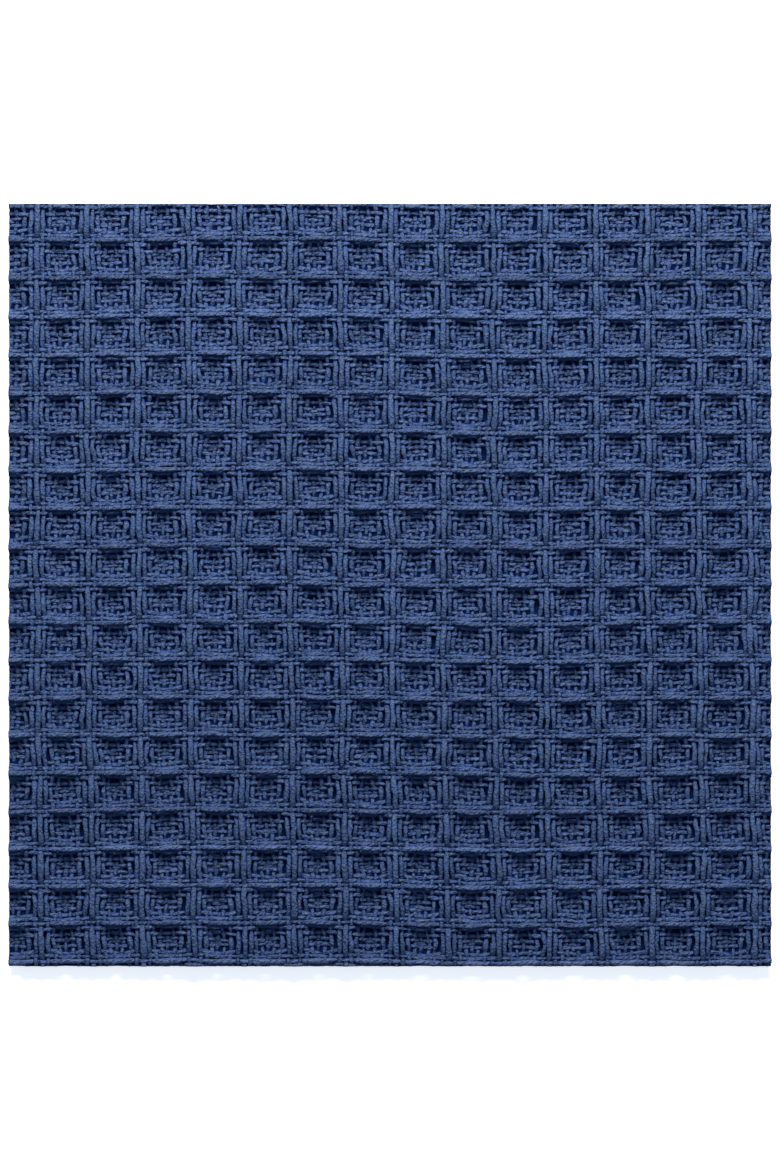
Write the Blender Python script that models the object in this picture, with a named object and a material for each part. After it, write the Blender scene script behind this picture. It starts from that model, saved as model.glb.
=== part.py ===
"""A flat cut length of waffle weave cotton cloth, one closed solid.

Metres, +Z up out of the cloth's face. The cloth lies on z = 0, with the origin under its middle.
+X runs along the weft, +Y along the warp. Both faces hold a grid of flat ridges round four-sided pits.
The back's grid is the face's one moved by half a cell each way, so that each crossing of one face's
ridges stands behind a pit of the other.
"""

import math

import bmesh
import bpy
from mathutils import Vector

# The cut length
CLOTH_WIDTH = 0.105
CLOTH_LENGTH = 0.105

# Thickness: over the ridges of both faces, and where a pit meets the other face's ridge crossing
RIDGE_TO_RIDGE = 0.0028
TWO_YARNS = 0.0011

# The weave's cell, ridge to ridge, and the flat top of a ridge
CELL_WIDTH = 0.00701
CELL_LENGTH = 0.00523
RIDGE_LAND = 0.0007

# The face's first ridges, from the left edge half way down, and from the top edge half way across
FIRST_WARP_RIDGE = 0.00392
FIRST_WEFT_RIDGE = 0.00513

# Cells in the woven blank. It is larger than the cut length, and starts this many cells outside it.
CELLS_ACROSS = 17
CELLS_DOWN = 22
START_ACROSS = -1
START_DOWN = -2

# How the cloth lies: the warp leans to the right going down, and the weft drops to the right
WARP_LEAN = 0.0073
WEFT_DROP = 0.0020
# Soft waves in the lie of the ridges, about as wide as the cloth
WARP_WAVE = 0.00012
WEFT_WAVE = 0.00016
WEFT_WAVE_TURNS = 1.5

COLOUR = (0.028, 0.051, 0.127, 1.0)
ROUGHNESS = 0.9
SPECULAR = 0.2

CUTTER_MARGIN = 0.004


def empty_scene():
    for thing in list(bpy.data.objects):
        bpy.data.objects.remove(thing, do_unlink=True)


def new_collection(name):
    collection = bpy.data.collections.new(name)
    bpy.context.scene.collection.children.link(collection)
    return collection


def cotton():
    material = bpy.data.materials.new("navy_cotton")
    material.use_nodes = True
    shader = material.node_tree.nodes["Principled BSDF"]
    shader.inputs["Base Color"].default_value = COLOUR
    shader.inputs["Roughness"].default_value = ROUGHNESS
    shader.inputs["Metallic"].default_value = 0.0
    shader.inputs["Specular IOR Level"].default_value = SPECULAR
    return material


def lie(point):
    """Where a point of the straight weave is in the cloth as it lies."""
    wide_turn = 2 * math.pi * point.x / CLOTH_WIDTH
    long_turn = 2 * math.pi * point.y / CLOTH_LENGTH
    x = point.x - WARP_LEAN * point.y
    y = point.y - WEFT_DROP * point.x
    x -= WARP_WAVE * (math.cos(wide_turn) + math.cos(long_turn))
    y -= WEFT_WAVE * (math.cos(long_turn) + math.cos(WEFT_WAVE_TURNS * (wide_turn + math.pi)))
    return Vector((x, y, point.z))


def ridged_sheet(shape, height, pit_depth, move_across, move_down):
    """One face of the blank: a grid of cells, each a flat ridge land round a four-sided pit."""
    grid = bmesh.ops.create_grid(shape, x_segments=CELLS_ACROSS, y_segments=CELLS_DOWN, size=0.5)
    vertices = grid["verts"]
    faces = {face for vertex in vertices for face in vertex.link_faces}
    rim = list({edge for face in faces for edge in face.edges if edge.is_boundary})
    left = -CLOTH_WIDTH / 2 + FIRST_WARP_RIDGE + (START_ACROSS + move_across) * CELL_WIDTH
    top = CLOTH_LENGTH / 2 - FIRST_WEFT_RIDGE - (START_DOWN + move_down) * CELL_LENGTH
    for vertex in vertices:
        across = (vertex.co.x + 0.5) * CELLS_ACROSS
        down = (0.5 - vertex.co.y) * CELLS_DOWN
        vertex.co = Vector((left + across * CELL_WIDTH, top - down * CELL_LENGTH, height))
    cells = list(faces)
    bmesh.ops.inset_individual(shape, faces=cells, thickness=RIDGE_LAND / 2, use_even_offset=True)
    pits = bmesh.ops.poke(shape, faces=cells)
    for vertex in pits["verts"]:
        vertex.co.z = height - pit_depth
    return rim


def woven_blank():
    """The oversize cloth: its two ridged faces, joined round the rim."""
    shape = bmesh.new()
    relief = RIDGE_TO_RIDGE - TWO_YARNS
    face_rim = ridged_sheet(shape, RIDGE_TO_RIDGE, relief, 0.0, 0.0)
    back_rim = ridged_sheet(shape, 0.0, -relief, -0.5, 0.5)
    bmesh.ops.bridge_loops(shape, edges=face_rim + back_rim)
    for vertex in shape.verts:
        vertex.co = lie(vertex.co)
    bmesh.ops.recalc_face_normals(shape, faces=shape.faces)
    mesh = bpy.data.meshes.new("waffle_cloth")
    shape.to_mesh(mesh)
    shape.free()
    return mesh


def outline_cutter(collection):
    """The cut length's outline, as a box through the blank."""
    shape = bmesh.new()
    bmesh.ops.create_cube(shape, size=1.0)
    tall = RIDGE_TO_RIDGE + 2 * CUTTER_MARGIN
    for vertex in shape.verts:
        vertex.co.x *= CLOTH_WIDTH
        vertex.co.y *= CLOTH_LENGTH
        vertex.co.z = vertex.co.z * tall + RIDGE_TO_RIDGE / 2
    mesh = bpy.data.meshes.new("cut_outline")
    shape.to_mesh(mesh)
    shape.free()
    cutter = bpy.data.objects.new("cut_outline", mesh)
    cutter.hide_render = True
    cutter.display_type = "WIRE"
    collection.objects.link(cutter)
    return cutter


def waffle_cloth(parts, cutters):
    cloth = bpy.data.objects.new("waffle_cloth", woven_blank())
    cloth.data.materials.append(cotton())
    parts.objects.link(cloth)
    cut = cloth.modifiers.new("cut_to_length", "BOOLEAN")
    cut.operation = "INTERSECT"
    cut.solver = "EXACT"
    cut.object = outline_cutter(cutters)
    return cloth


def main():
    empty_scene()
    parts = new_collection("waffle_weave_cloth")
    cutters = new_collection("cutters")
    waffle_cloth(parts, cutters)


main()
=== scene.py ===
import math

import bmesh
import bpy
import numpy as np
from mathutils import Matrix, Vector


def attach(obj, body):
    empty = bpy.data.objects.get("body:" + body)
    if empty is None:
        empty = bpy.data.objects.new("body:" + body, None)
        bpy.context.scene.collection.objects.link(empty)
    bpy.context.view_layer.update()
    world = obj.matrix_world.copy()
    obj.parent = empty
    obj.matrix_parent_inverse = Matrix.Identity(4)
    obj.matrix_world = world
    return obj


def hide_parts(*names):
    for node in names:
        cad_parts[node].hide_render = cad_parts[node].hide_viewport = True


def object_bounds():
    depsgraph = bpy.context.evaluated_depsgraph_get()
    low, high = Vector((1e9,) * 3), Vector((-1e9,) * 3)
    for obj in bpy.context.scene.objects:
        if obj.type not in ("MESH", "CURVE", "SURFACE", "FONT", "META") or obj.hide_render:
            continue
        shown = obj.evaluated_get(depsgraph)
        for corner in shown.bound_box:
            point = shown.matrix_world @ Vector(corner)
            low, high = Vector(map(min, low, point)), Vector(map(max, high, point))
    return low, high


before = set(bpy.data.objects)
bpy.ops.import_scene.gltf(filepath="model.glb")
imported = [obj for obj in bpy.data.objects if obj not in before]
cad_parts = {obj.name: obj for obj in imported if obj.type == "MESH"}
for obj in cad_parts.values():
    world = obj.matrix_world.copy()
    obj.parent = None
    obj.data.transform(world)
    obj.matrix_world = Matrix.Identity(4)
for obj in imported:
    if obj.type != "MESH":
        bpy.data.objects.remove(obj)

cadLow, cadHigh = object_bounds()
clothNode = "waffle_cloth"
clothBody = "root"
millimetre = 0.001
halfWidth = (cadHigh.x - cadLow.x) / 2
halfLength = (cadHigh.y - cadLow.y) / 2
thickness = cadHigh.z - cadLow.z
print("frame loaded: cloth", round(2 * halfWidth / millimetre, 1), "mm wide")


weave = {
    "threads": 8,  # ends in a cell, and picks in a cell
    "cellWidth": 0.00701,
    "cellLength": 0.00523,
    "firstWarpRidge": 0.00392,  # from the left edge, half way down
    "firstWeftRidge": 0.00513,  # from the top edge, half way across
    # from a cell's ridge to its ends, rightwards, and to its picks, downwards, in shares of the cell
    "endPlaces": (0.005, 0.113, 0.234, 0.356, 0.454, 0.580, 0.728, 0.884),
    "pickPlaces": (0.005, 0.122, 0.298, 0.432, 0.514, 0.615, 0.773, 0.893),
    # how far a thread bows inside a cell, in shares of the cell
    "endBows": (0.0, 0.006, 0.018, 0.031, -0.012, -0.028, -0.016, -0.006),
    "pickBows": (0.0, -0.024, -0.016, 0.0, 0.0, 0.004, 0.042, 0.018),
    "twoYarns": 0.00110,  # thickness where a pit meets a ridge crossing of the other face
    "dip": 0.00040,  # how far the face sinks where two ridges cross, and the back likewise
    "backDip": 0.00015,
    "dipPower": 4,
    "warpLean": 0.0073,  # rightwards as the warp goes down, and downwards as the weft goes right
    "weftDrop": 0.0020,
    "warpWave": 0.00012,
    "weftWave": 0.00016,
    "weftWaveTurns": 1.5,
    "wobbleAcross": 0.00009,  # cells stray a little from their places
    "wobbleDown": 0.000065,
    "wobblePasses": 24,  # more passes make a slower stray
    "sideNoise": (0.00005, 0.00011),  # on the ridges, and deep in the pits
    "heightNoise": (0.00005, 0.00010),
    "noisePasses": 1,
    "seed": 12,
    "settleSteps": 80,
    "pull": 0.20,  # how hard a thread straightens
    "hold": 0.12,  # how hard it keeps to its face
    "spare": 4,  # threads worked out beyond the outline, so that those inside settle as in a wider cloth
}

dice = np.random.default_rng(weave["seed"])


def numbersAcross(cell, first, low, high):
    threads = weave["threads"]
    start = math.floor((low - first) / cell * threads) - weave["spare"]
    stop = math.ceil((high - first) / cell * threads) + weave["spare"]
    return np.arange(start, stop + 1)


endNumbers = numbersAcross(weave["cellWidth"], weave["firstWarpRidge"], 0, 2 * halfWidth)
pickNumbers = numbersAcross(weave["cellLength"], weave["firstWeftRidge"], 0, 2 * halfLength)


def folded(numbers):
    place = numbers % weave["threads"]
    return np.minimum(place, weave["threads"] - place)


def weftOnTop():
    # ordinary waffle draft: the weft shows where it is on the diagonal or two or more ends past it
    pick = folded(pickNumbers)[:, None]
    end = folded(endNumbers)[None, :]
    return (pick == end) | (end - pick >= 2)


def smoothNoise(shape, size, axes, passes):
    grid = dice.normal(size=shape)
    for axis in axes:
        for _ in range(passes):
            grid = (np.roll(grid, 1, axis) + 2 * grid + np.roll(grid, -1, axis)) / 4
    return grid / grid.std() * size


def depthShares():
    # how far each crossing is from its nearer ridge, and from its farther one, in half cells
    halfCell = weave["threads"] / 2
    shape = (len(pickNumbers), len(endNumbers))
    pick = np.broadcast_to(folded(pickNumbers)[:, None] / halfCell, shape)
    end = np.broadcast_to(folded(endNumbers)[None, :] / halfCell, shape)
    return np.minimum(pick, end), np.maximum(pick, end)


def deeperNoise(sizes, axis):
    # small on the ridges and larger down in the pits
    near, _ = depthShares()
    size = sizes[0] + (sizes[1] - sizes[0]) * near
    return size * smoothNoise(near.shape, 1.0, (axis,), weave["noisePasses"])


def placeInCells(numbers, places):
    # in whole cells and a share of one, from the first ridge
    threads = weave["threads"]
    return numbers // threads + np.array(places)[numbers % threads]


def crossings():
    # where each crossing lies in the plane of the cloth
    shape = (len(pickNumbers), len(endNumbers))
    across = np.broadcast_to(placeInCells(endNumbers, weave["endPlaces"])[None, :], shape)
    down = np.broadcast_to(placeInCells(pickNumbers, weave["pickPlaces"])[:, None], shape)
    endBow = np.array(weave["endBows"])[endNumbers % weave["threads"]][None, :]
    pickBow = np.array(weave["pickBows"])[pickNumbers % weave["threads"]][:, None]
    across = across + endBow * np.cos(2 * math.pi * down)
    down = down - pickBow * np.cos(2 * math.pi * across)
    x = -halfWidth + weave["firstWarpRidge"] + across * weave["cellWidth"]
    y = halfLength - weave["firstWeftRidge"] - down * weave["cellLength"]
    x = x + smoothNoise(shape, weave["wobbleAcross"], (0, 1), weave["wobblePasses"])
    y = y + smoothNoise(shape, weave["wobbleDown"], (0, 1), weave["wobblePasses"])
    x = x + deeperNoise(weave["sideNoise"], 0)
    y = y + deeperNoise(weave["sideNoise"], 1)
    wideTurn = 2 * math.pi * x / (2 * halfWidth)
    longTurn = 2 * math.pi * y / (2 * halfLength)
    lieX = x - weave["warpLean"] * y - weave["warpWave"] * (np.cos(wideTurn) + np.cos(longTurn))
    lieY = y - weave["weftDrop"] * x - weave["weftWave"] * (
        np.cos(longTurn) + np.cos(weave["weftWaveTurns"] * (wideTurn + math.pi))
    )
    return lieX, lieY


def neighbours(grid, axis):
    # the mean of the two crossings beside each, along one way of the cloth
    padded = np.pad(grid, [(1, 1) if a == axis else (0, 0) for a in (0, 1)], mode="edge")
    if axis == 0:
        return (padded[:-2] + padded[2:]) / 2
    return (padded[:, :-2] + padded[:, 2:]) / 2


def heights(weftUp, endTall, pickTall):
    # each thread starts on its face of the cloth, then settles against the threads it crosses
    near, far = depthShares()
    relief = thickness - weave["twoYarns"]
    sunk = weave["dip"] * (1 - far) ** weave["dipPower"]
    face = thickness - relief * near - sunk
    back = relief * (1 - far) + weave["backDip"] * near ** weave["dipPower"] - sunk
    endHalf, pickHalf = endTall[None, :] / 2, pickTall[:, None] / 2
    warpGoal = np.where(weftUp, back + endHalf, face - endHalf)
    weftGoal = np.where(weftUp, face - pickHalf, back + pickHalf)
    warpGoal = warpGoal + deeperNoise(weave["heightNoise"], 0)
    weftGoal = weftGoal + deeperNoise(weave["heightNoise"], 1)
    warp, weft = warpGoal.copy(), weftGoal.copy()
    side = np.where(weftUp, -1.0, 1.0)
    touch = endHalf + pickHalf
    for _ in range(weave["settleSteps"]):
        warp = warp + weave["pull"] * (neighbours(warp, 0) - warp) + weave["hold"] * (warpGoal - warp)
        weft = weft + weave["pull"] * (neighbours(weft, 1) - weft) + weave["hold"] * (weftGoal - weft)
        short = np.minimum(side * (warp - weft) - touch, 0) / 2
        warp = warp - side * short
        weft = weft + side * short
    # the whole weave is then brought to the cloth's thickness
    low = min((warp - endHalf).min(), (weft - pickHalf).min())
    high = max((warp + endHalf).max(), (weft + pickHalf).max())
    scale = thickness / (high - low)
    return (warp - low) * scale, (weft - low) * scale


yarn = {
    "sides": 6,
    # in the order of endPlaces and of pickPlaces
    "endWidths": (0.00063, 0.00054, 0.00054, 0.00057, 0.00057, 0.00057, 0.00058, 0.00057),
    "pickWidths": (0.00056, 0.00054, 0.00055, 0.00056, 0.00056, 0.00055, 0.00060, 0.00054),
    "endTall": 0.00045,
    "pickTall": 0.00043,
    "swell": 0.30,  # how much a floating thread spreads, and a bound one narrows
    "slub": 0.11,  # how much a thread's size varies along it
    "lumps": 0.13,  # and round it
    "stepsPerLink": 4,  # from one crossing to the next
    "overrun": 0.002,  # laid past the outline before cutting
    "shortestRun": 24,  # in steps
    "cutMargin": 1e-8,  # how near the cut a corner counts as on it
    "rimMargin": 1e-6,  # and when a cut yarn's rim is looked for
    "piecesEachWay": 3,
    "mapName": "yarnMap",
    "toneName": "yarnTone",
}


def alongThread(values, steps):
    # Catmull-Rom through the crossings
    before = 2 * values[:, :1] - values[:, 1:2]
    after = 2 * values[:, -1:] - values[:, -2:-1]
    padded = np.concatenate([before, values, after], axis=1)
    a, b, c, d = padded[:, :-3], padded[:, 1:-2], padded[:, 2:-1], padded[:, 3:]
    parts = []
    for step in range(steps):
        t = step / steps
        bend = 2 * a - 5 * b + 4 * c - d
        twist = 3 * b - a - 3 * c + d
        parts.append(b + (t * (c - a) + t**2 * bend + t**3 * twist) / 2)
    fine = np.stack(parts, axis=2).reshape(len(values), -1, *values.shape[2:])
    return np.concatenate([fine, values[:, -1:]], axis=1)


def ringsKept(onTop, steps):
    # a ring at each crossing, and one more between two where the thread changes face
    links = onTop.shape[1] - 1
    keep = np.zeros((len(onTop), links * steps + 1), bool)
    keep[:, ::steps] = True
    changes = onTop[:, 1:] != onTop[:, :-1]
    for link in range(links):
        keep[changes[:, link], link * steps + steps // 2] = True
    return keep


def runsInside(path, onward):
    # where a thread's middle is inside the outline, so that no thread is cut to a sliver along an edge
    reach = np.array([halfWidth, halfLength])
    reach[onward] += yarn["overrun"]
    inside = (np.abs(path[:, :2]) < reach).all(axis=1)
    turns = np.flatnonzero(np.diff(np.concatenate([[0], inside.astype(int), [0]])))
    runs = [slice(start, stop) for start, stop in zip(turns[::2], turns[1::2])]
    return [run for run in runs if run.stop - run.start >= yarn["shortestRun"]]


def threadRuns(onward, *rows):
    # the stretches of the threads that are laid, each with a ring at both its ends
    for path, width, tall, keep, tone in zip(*rows):
        for run in runsInside(path, onward):
            keepRun = keep[run].copy()
            keepRun[[0, -1]] = True
            yield path[run], width[run], tall[run], keepRun, tone


def tubeRings(path, width, tall, keep):
    # the corners of a tube's rings, and how far along the thread each ring is
    forward = np.gradient(path, axis=0)
    forward /= np.linalg.norm(forward, axis=1, keepdims=True)
    length = np.concatenate([[0], np.cumsum(np.linalg.norm(np.diff(path, axis=0), axis=1))])
    across = np.cross(forward, [0, 0, 1])
    across /= np.linalg.norm(across, axis=1, keepdims=True)
    upward = np.cross(across, forward)
    path, across, upward = path[keep], across[keep], upward[keep]
    width, tall, length = width[keep], tall[keep], length[keep]
    sides = yarn["sides"]
    turn = np.arange(sides) / sides * 2 * math.pi
    lumps = 1 + dice.normal(size=(len(path), sides)) * yarn["lumps"]
    sideways = lumps * np.cos(turn) * width[:, None] / 2
    upwards = lumps * np.sin(turn) * tall[:, None] / 2
    corners = path[:, None] + across[:, None] * sideways[:, :, None]
    corners = corners + upward[:, None] * upwards[:, :, None]
    return corners.reshape(-1, 3), length / millimetre


def tubeSides(length):
    # a tube's four-sided faces, and where their corners are on the yarn map: around, and along in mm
    sides = yarn["sides"]
    rings = len(length)
    row = np.arange(rings - 1)[:, None] * sides
    column = np.arange(sides)[None, :]
    beside = (column + 1) % sides
    corners = [row + column, row + sides + column, row + sides + beside, row + beside]
    shape = (rings - 1, sides)
    low, high = np.broadcast_to(column / sides, shape), np.broadcast_to((column + 1) / sides, shape)
    start, stop = np.broadcast_to(length[:-1, None], shape), np.broadcast_to(length[1:, None], shape)
    places = np.stack([low, start, low, stop, high, stop, high, start], axis=2)
    return np.stack(corners, axis=2).reshape(-1, 4), places.reshape(-1, 2)


def tubeMesh(name, threads):
    # one mesh of many tubes, closed at both ends
    sides = yarn["sides"]
    coordinates, faces, maps, tones = [], [], [], []
    endFaces, endMaps = [], []
    count = 0
    for path, width, tall, keep, tone in threads:
        corners, length = tubeRings(path, width, tall, keep)
        sideFaces, sideMaps = tubeSides(length)
        coordinates.append(corners)
        faces.append(sideFaces + count)
        maps.append(sideMaps)
        for first, place in ((count, length[0]), (count + len(corners) - sides, length[-1])):
            endFaces.append([first + side for side in range(sides)])
            endMaps.append([(side / sides, place) for side in range(sides)])
        tones.append(np.full(len(corners), tone))
        count += len(corners)
    mesh = bpy.data.meshes.new(name)
    mesh.from_pydata(np.concatenate(coordinates).tolist(), [], np.concatenate(faces).tolist() + endFaces)
    maps.append(np.array(endMaps).reshape(-1, 2))
    uvMap = mesh.uv_layers.new(name=yarn["mapName"])
    uvMap.data.foreach_set("uv", np.concatenate(maps).astype(np.float32).ravel())
    yarnTone = mesh.attributes.new(yarn["toneName"], "FLOAT", "POINT")
    yarnTone.data.foreach_set("value", np.concatenate(tones).astype(np.float32))
    return mesh


def fillRims(shape, normal, reach):
    # flat faces over the yarns cut at one edge of the cloth
    def onCut(edge):
        return all(abs(end.co.dot(normal) - reach) < yarn["rimMargin"] for end in edge.verts)

    rims = [edge for edge in shape.edges if edge.is_boundary and onCut(edge)]
    filled = bmesh.ops.holes_fill(shape, edges=rims, sides=0)
    for face in filled["faces"]:
        face.smooth = False


def cutToOutline(mesh, closed):
    # the cut length's four straight edges. Closed yarns are filled in where they are cut.
    shape = bmesh.new()
    shape.from_mesh(mesh)
    for face in shape.faces:
        face.smooth = len(face.verts) == 4
    for outward, reach in (((1, 0, 0), halfWidth), ((0, 1, 0), halfLength)):
        for sign in (1, -1):
            normal = Vector(outward) * sign
            bmesh.ops.bisect_plane(
                shape,
                geom=shape.verts[:] + shape.edges[:] + shape.faces[:],
                dist=yarn["cutMargin"],
                plane_co=normal * reach,
                plane_no=normal,
                clear_outer=True,
            )
            if closed:
                fillRims(shape, normal, reach)
    if closed:
        bmesh.ops.recalc_face_normals(shape, faces=shape.faces)
    shape.to_mesh(mesh)
    shape.free()
    mesh.validate()


def newPiece(name, mesh, material):
    piece = bpy.data.objects.new(name, mesh)
    bpy.context.scene.collection.objects.link(piece)
    mesh.materials.append(material)
    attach(piece, clothBody)
    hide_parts(clothNode)
    return piece


def threadPieces(name, onward, paths, onTop, widthOf, tallOf, material):
    # onward is the axis that the threads run along: 0 for x, 1 for y
    steps = yarn["stepsPerLink"]
    finePaths = alongThread(paths, steps)
    floating = (2 * onTop + neighbours(onTop.astype(float), 1)) / 3
    topShare = alongThread(floating[:, :, None], steps)[:, :, 0]
    slub = alongThread(smoothNoise(onTop.shape, yarn["slub"], (1,), 1)[:, :, None], steps)[:, :, 0]
    spread = yarn["swell"] * (2 * np.clip(topShare, 0, 1) - 1)
    widths = widthOf[:, None] * (1 + spread + slub)
    talls = tallOf[:, None] * (1 - spread / 2 + slub)
    keeps = ringsKept(onTop, steps)
    tones = dice.normal(size=len(paths))
    pieces = []
    for number, chosen in enumerate(np.array_split(np.arange(len(paths)), yarn["piecesEachWay"]), 1):
        rows = (finePaths[chosen], widths[chosen], talls[chosen], keeps[chosen], tones[chosen])
        mesh = tubeMesh(f"{name}{number}", threadRuns(onward, *rows))
        cutToOutline(mesh, True)
        pieces.append(newPiece(f"{name}{number}", mesh, material))
        print(name, number, "laid and cut:", len(mesh.polygons), "faces")
    return pieces


ground = {
    "drop": 0.00004,  # below the middle of the two threads at a crossing
    "fibreScale": 3000.0,  # a metre
    "fibreDetail": 2.0,
    # deep and light: a dark navy mottle, painted shade for the gaps between the yarns
    "deep": (0.0004, 0.0026, 0.0170, 1.0),
    "light": (0.0020, 0.0080, 0.0400, 1.0),
    "roughness": 1.0,
    "specular": 0.0,
}


def groundMesh(lieX, lieY, middle):
    rows, columns = middle.shape
    points = np.stack([lieX, lieY, middle], axis=2).reshape(-1, 3)
    row = np.arange(rows - 1)[:, None] * columns
    column = np.arange(columns - 1)[None, :]
    above, below = row + column, row + columns + column
    quads = np.stack([above, below, below + 1, above + 1], axis=2)
    mesh = bpy.data.meshes.new("groundCloth")
    mesh.from_pydata(points.tolist(), [], quads.reshape(-1, 4).tolist())
    cutToOutline(mesh, False)
    return mesh


cotton = {
    # linear colours: down a yarn's sides and where yarns close in, both painted shade; in the open; and
    # the palest fibres, a painted highlight
    "weft": {
        "side": (0.0088, 0.0360, 0.1720, 1.0),
        "close": (0.0160, 0.0540, 0.2420, 1.0),
        "open": (0.0450, 0.0735, 0.1470, 1.0),
        "fibreHighlight": (0.0970, 0.1220, 0.1670, 1.0),
        "plyGrooveShade": 0.24,
        "plyRelief": 0.8,
    },
    # the warp's colours are a darker copy of the weft's: painted shade, as its ends run towards the
    # light and catch less of it
    "warp": {
        "side": (0.0064, 0.0282, 0.1520, 1.0),
        "close": (0.0116, 0.0428, 0.2130, 1.0),
        "open": (0.0340, 0.0615, 0.1360, 1.0),
        "fibreHighlight": (0.0800, 0.1090, 0.1610, 1.0),
        "plyGrooveShade": 0.10,
        "plyRelief": 0.3,
    },
    "roughness": 0.85,
    "specular": 0.02,
    "shadeReach": 0.0012,  # how near another yarn must be for the painted shade to deepen the colour
    "shadeSamples": 4,
    "shadeRange": (0.25, 0.74),  # from closed in to open
    "plies": 3,
    "plyPitch": 3.0,  # millimetres for a ply to go once round
    "plyWander": 0.6,  # in turns
    "wanderScale": 0.9,
    "apart": 37.0,  # between two yarns' places in the noises
    "plyFlat": 0.5,  # a ply is at its full height where its wave is above this
    "crownPower": 0.28,
    "fibreScale": 2.2,
    "fibresAround": 5.0,
    "fibreDetail": 4.0,
    "fibreRoughness": 0.7,
    "fibreRange": (0.32, 0.68),
    "fibreRelief": 0.5,
    "fuzzScale": 3300.0,  # a metre
    "fuzzDetail": 1.0,
    "fuzzRange": (0.35, 0.65),
    "fuzzDepth": 0.38,
    "toneSpread": 0.08,
    "bumpDistance": 0.00015,
}


def nodeMaker(material):
    # short ways to add nodes to one material, and its shader
    material.use_nodes = True
    tree = material.node_tree

    def make(kind, inputs=None, **settings):
        node = tree.nodes.new(kind)
        for name, value in settings.items():
            setattr(node, name, value)
        for key, value in (inputs or {}).items():
            node.inputs[key].default_value = value
        return node

    def calculate(operation, first, second=None, third=None):
        node = make("ShaderNodeMath", operation=operation)
        for place, value in enumerate((first, second, third)):
            if value is None:
                continue
            if isinstance(value, (int, float)):
                node.inputs[place].default_value = value
            else:
                tree.links.new(value, node.inputs[place])
        return node.outputs[0]

    def share(value, span, **settings):
        # 0 at the low end of the span, 1 at its high end
        node = make("ShaderNodeMapRange", {"From Min": span[0], "From Max": span[1]}, **settings)
        tree.links.new(value, node.inputs["Value"])
        return node.outputs[0]

    def mixColour(factor, first, second):
        node = make("ShaderNodeMix", data_type="RGBA")
        sockets = [socket for socket in node.inputs if socket.type == "RGBA"]
        tree.links.new(factor, node.inputs["Factor"])
        for socket, value in zip(sockets, (first, second)):
            if isinstance(value, tuple):
                socket.default_value = value
            else:
                tree.links.new(value, socket)
        return [socket for socket in node.outputs if socket.type == "RGBA"][0]

    return make, calculate, share, mixColour, tree.links.new, tree.nodes["Principled BSDF"]


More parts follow.
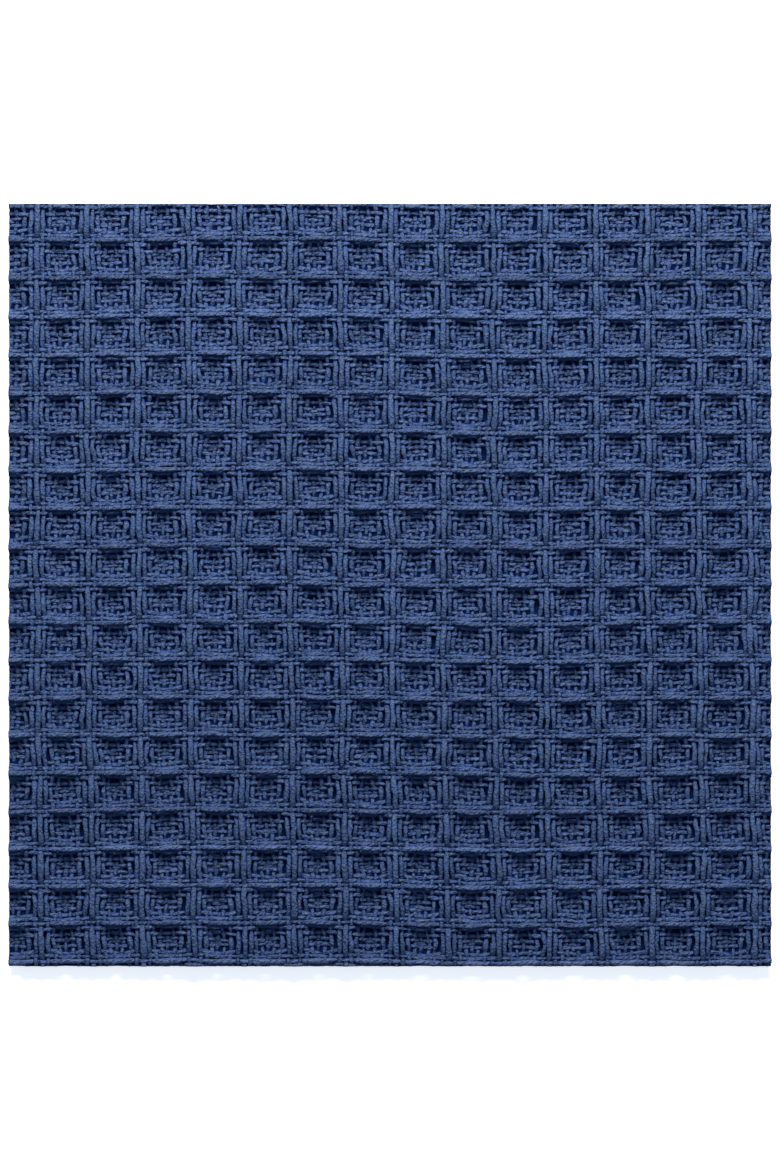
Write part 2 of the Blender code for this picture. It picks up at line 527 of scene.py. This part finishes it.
def cottonYarn(name, colours):
    material = bpy.data.materials.new(name)
    make, calculate, share, mixColour, link, shader = nodeMaker(material)
    shader.inputs["Roughness"].default_value = cotton["roughness"]
    shader.inputs["Specular IOR Level"].default_value = cotton["specular"]

    # around goes from 0 to 1 about the yarn, along is in millimetres
    uvMap = make("ShaderNodeUVMap", uv_map=yarn["mapName"])
    split = make("ShaderNodeSeparateXYZ")
    link(uvMap.outputs["UV"], split.inputs[0])
    around, along = split.outputs["X"], split.outputs["Y"]
    tone = make("ShaderNodeAttribute", attribute_name=yarn["toneName"]).outputs["Fac"]

    # the twist wanders, so that no two plies lie quite alike
    slow = make("ShaderNodeTexNoise", {"Scale": cotton["wanderScale"]}, noise_dimensions="2D")
    slowPlace = make("ShaderNodeCombineXYZ")
    link(along, slowPlace.inputs["X"])
    link(calculate("MULTIPLY", tone, cotton["apart"]), slowPlace.inputs["Y"])
    link(slowPlace.outputs[0], slow.inputs["Vector"])
    wander = calculate("MULTIPLY", slow.outputs["Fac"], cotton["plyWander"])
    turned = calculate("SUBTRACT", around, calculate("DIVIDE", along, cotton["plyPitch"]))
    phase = calculate("ADD", turned, wander)

    # the plies, with a groove between each two
    wave = calculate("COSINE", calculate("MULTIPLY", phase, 2 * math.pi * cotton["plies"]))
    ply = share(wave, (-1.0, cotton["plyFlat"]), interpolation_type="SMOOTHSTEP")

    # fibres drawn out along the plies
    winding = make("ShaderNodeCombineXYZ")
    link(calculate("MULTIPLY", phase, cotton["fibresAround"]), winding.inputs["X"])
    link(along, winding.inputs["Y"])
    link(calculate("MULTIPLY", tone, cotton["apart"]), winding.inputs["Z"])
    fibreLook = {
        "Scale": cotton["fibreScale"],
        "Detail": cotton["fibreDetail"],
        "Roughness": cotton["fibreRoughness"],
    }
    fibre = make("ShaderNodeTexNoise", fibreLook)
    link(winding.outputs[0], fibre.inputs["Vector"])
    strands = share(fibre.outputs["Fac"], cotton["fibreRange"])

    # loose fibres blur the plies
    place = make("ShaderNodeTexCoord")
    tufts = make("ShaderNodeTexNoise", {"Scale": cotton["fuzzScale"], "Detail": cotton["fuzzDetail"]})
    link(place.outputs["Object"], tufts.inputs["Vector"])
    fuzz = share(tufts.outputs["Fac"], cotton["fuzzRange"])

    # painted shade: the colour is deeper and bluer where yarns close in round a point
    reach = {"Distance": cotton["shadeReach"]}
    near = make("ShaderNodeAmbientOcclusion", reach, samples=cotton["shadeSamples"])
    unshadedShare = share(near.outputs["AO"], cotton["shadeRange"])
    body = mixColour(unshadedShare, colours["close"], colours["open"])
    # painted highlight: pale greyish fibres, shown only where the yarn is open
    fibres = mixColour(calculate("MULTIPLY", strands, unshadedShare), body, colours["fibreHighlight"])

    # painted shade: a yarn's sides and its ply grooves are darker than its crown, as light falls on
    # them; its thin spots are darker at random
    crown = calculate("ABSOLUTE", calculate("SINE", calculate("MULTIPLY", around, 2 * math.pi)))
    crownLight = calculate("POWER", crown, cotton["crownPower"])
    plyLight = calculate("MULTIPLY_ADD", ply, colours["plyGrooveShade"], 1 - colours["plyGrooveShade"])
    fuzzLight = calculate("MULTIPLY_ADD", fuzz, cotton["fuzzDepth"], 1 - cotton["fuzzDepth"])
    sideShadeAndFuzz = calculate("MULTIPLY", calculate("MULTIPLY", plyLight, crownLight), fuzzLight)
    colour = mixColour(sideShadeAndFuzz, colours["side"], fibres)

    # each yarn has its own depth of dye
    shade = make("ShaderNodeHueSaturation")
    link(colour, shade.inputs["Color"])
    link(calculate("MULTIPLY_ADD", tone, cotton["toneSpread"], 1.0), shade.inputs["Value"])
    link(shade.outputs["Color"], shader.inputs["Base Color"])

    bump = make("ShaderNodeBump", {"Strength": 1.0, "Distance": cotton["bumpDistance"]})
    twist = calculate("MULTIPLY_ADD", ply, colours["plyRelief"], fuzz)
    link(calculate("MULTIPLY_ADD", strands, cotton["fibreRelief"], twist), bump.inputs["Height"])
    link(bump.outputs["Normal"], shader.inputs["Normal"])
    return material


# the sheet's finish: a dark navy mottle, painted shade seen through the gaps between the yarns
def groundShadeFinish():
    material = bpy.data.materials.new("groundPaintedShade")
    make, _, _, mixColour, link, shader = nodeMaker(material)
    shader.inputs["Roughness"].default_value = ground["roughness"]
    shader.inputs["Specular IOR Level"].default_value = ground["specular"]
    place = make("ShaderNodeTexCoord")
    noise = make("ShaderNodeTexNoise", {"Scale": ground["fibreScale"], "Detail": ground["fibreDetail"]})
    link(place.outputs["Object"], noise.inputs["Vector"])
    link(mixColour(noise.outputs["Fac"], ground["deep"], ground["light"]), shader.inputs["Base Color"])
    return material


def makeCloth():
    weftUp = weftOnTop()
    endTall = np.full(len(endNumbers), yarn["endTall"])
    pickTall = np.full(len(pickNumbers), yarn["pickTall"])
    endWidth = np.array(yarn["endWidths"])[endNumbers % weave["threads"]]
    pickWidth = np.array(yarn["pickWidths"])[pickNumbers % weave["threads"]]
    lieX, lieY = crossings()
    warpZ, weftZ = heights(weftUp, endTall, pickTall)
    print("weave settled:", weftUp.size, "crossings")
    warpFinish = cottonYarn("navyWarp", cotton["warp"])
    weftFinish = cottonYarn("navyWeft", cotton["weft"])
    warpPaths = np.stack([lieX, lieY, warpZ], axis=2).transpose(1, 0, 2)
    weftPaths = np.stack([lieX, lieY, weftZ], axis=2)
    pieces = threadPieces("warpEnds", 1, warpPaths, ~weftUp.T, endWidth, endTall, warpFinish)
    pieces += threadPieces("weftPicks", 0, weftPaths, weftUp, pickWidth, pickTall, weftFinish)
    # a sheet between the warp and the weft, coloured dark as painted shade in the gaps between the yarns
    middle = (warpZ + weftZ) / 2 - ground["drop"]
    sheet = newPiece("groundCloth", groundMesh(lieX, lieY, middle), groundShadeFinish())
    print("ground sheet declared with", len(pieces), "yarn pieces")


studio = {
    "floorSize": 3.0,
    "floorGap": 0.0001,  # a little below the lowest yarn
    "floorColour": (0.9, 0.9, 0.9, 1.0),
    "floorGlow": 0.75,  # a lit table, so that the cloth's shadow on it is faint
    "floorRoughness": 0.9,
    "frameHeight": 1170,  # in pixels, as is the cloth's width in the frame
    "clothWidthInFrame": 764,
    "lens": 135.0,  # in millimetres, as is the sensor's longer side
    "sensor": 36.0,
    "nearest": 0.01,  # what the camera can see, from and to
    "farthest": 10.0,
    "keyElevation": 38.0,  # above the floor, from the top edge of the cloth
    "keyDistance": 0.39,
    "keySize": 0.18,
    "keyPower": 4.2,
    "keyColour": (1.0, 0.98, 0.91),
    "fillColour": (0.66, 0.93, 1.32, 1.0),
    "fillStrength": 0.31,
}


def makeFloor():
    shape = bmesh.new()
    bmesh.ops.create_grid(shape, x_segments=1, y_segments=1, size=studio["floorSize"] / 2)
    mesh = bpy.data.meshes.new("studioFloor")
    shape.to_mesh(mesh)
    shape.free()
    floor = bpy.data.objects.new("studioFloor", mesh)
    floor.location.z = cadLow.z - studio["floorGap"]
    bpy.context.scene.collection.objects.link(floor)
    material = bpy.data.materials.new("paleFloor")
    material.use_nodes = True
    shader = material.node_tree.nodes["Principled BSDF"]
    shader.inputs["Base Color"].default_value = studio["floorColour"]
    shader.inputs["Emission Color"].default_value = studio["floorColour"]
    shader.inputs["Emission Strength"].default_value = studio["floorGlow"]
    shader.inputs["Roughness"].default_value = studio["floorRoughness"]
    mesh.materials.append(material)


def makeLight():
    light = bpy.data.lights.new("keyLight", "AREA")
    light.shape = "SQUARE"
    light.size = studio["keySize"]
    light.energy = studio["keyPower"]
    light.color = studio["keyColour"]
    lamp = bpy.data.objects.new("keyLight", light)
    lamp.visible_camera = False
    bpy.context.scene.collection.objects.link(lamp)
    angle = math.radians(studio["keyElevation"])
    lamp.location = (0, math.cos(angle) * studio["keyDistance"], math.sin(angle) * studio["keyDistance"])
    lamp.rotation_euler = (-lamp.location).to_track_quat("-Z", "Y").to_euler()
    world = bpy.data.worlds.new("studioAir")
    world.use_nodes = True
    background = world.node_tree.nodes["Background"]
    background.inputs["Color"].default_value = studio["fillColour"]
    background.inputs["Strength"].default_value = studio["fillStrength"]
    bpy.context.scene.world = world


def makeCamera():
    # straight above the cloth, as far off as gives it the photo's width in the frame
    camera = bpy.data.cameras.new("mainCamera")
    camera.lens = studio["lens"]
    camera.sensor_width = studio["sensor"]
    metresPerPixel = 2 * halfWidth / studio["clothWidthInFrame"]
    distance = studio["frameHeight"] * metresPerPixel * studio["lens"] / studio["sensor"]
    eye = bpy.data.objects.new("mainCamera", camera)
    eye.location = (0, 0, thickness + distance)
    camera.clip_start = studio["nearest"]
    camera.clip_end = studio["farthest"]
    bpy.context.scene.collection.objects.link(eye)
    bpy.context.scene.camera = eye


bpy.context.scene.view_settings.view_transform = "Standard"
makeCamera()
makeFloor()
makeLight()
makeCloth()
print("scene made")
